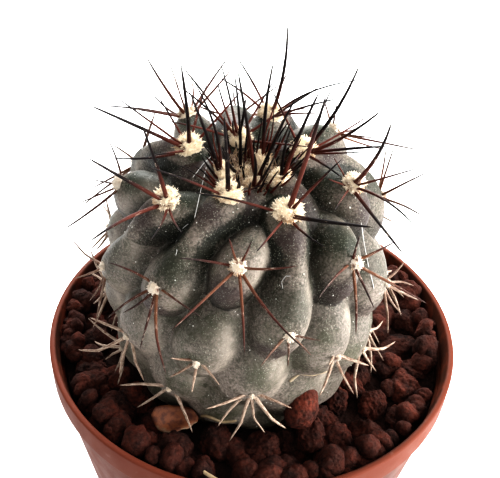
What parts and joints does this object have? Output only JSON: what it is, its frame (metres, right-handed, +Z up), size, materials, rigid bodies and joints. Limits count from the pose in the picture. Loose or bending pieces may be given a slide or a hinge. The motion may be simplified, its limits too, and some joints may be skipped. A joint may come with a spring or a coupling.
{
  "type": "potted copiapoa cactus",
  "caption": "Small globular copiapoa cactus with woolly crown and long dark spines, growing in lava gravel in a tapered round nursery pot.",
  "frame": {"origin": "centre of the pot's flat underside", "axes": "+Z up along the pot's axis; the plant leans about ten degrees towards -Y, the side the picture is taken from"},
  "size_m": [0.055, 0.055, 0.091],
  "materials": {
    "pot": "satin",
    "gravel": "matte",
    "cactus": "matte",
    "spines": "satin",
    "wool": "matte"
  },
  "bodies": {
    "root": {"pot": "pot", "gravel": "gravel", "cactus": "cactus"}
  },
  "joints": []
}
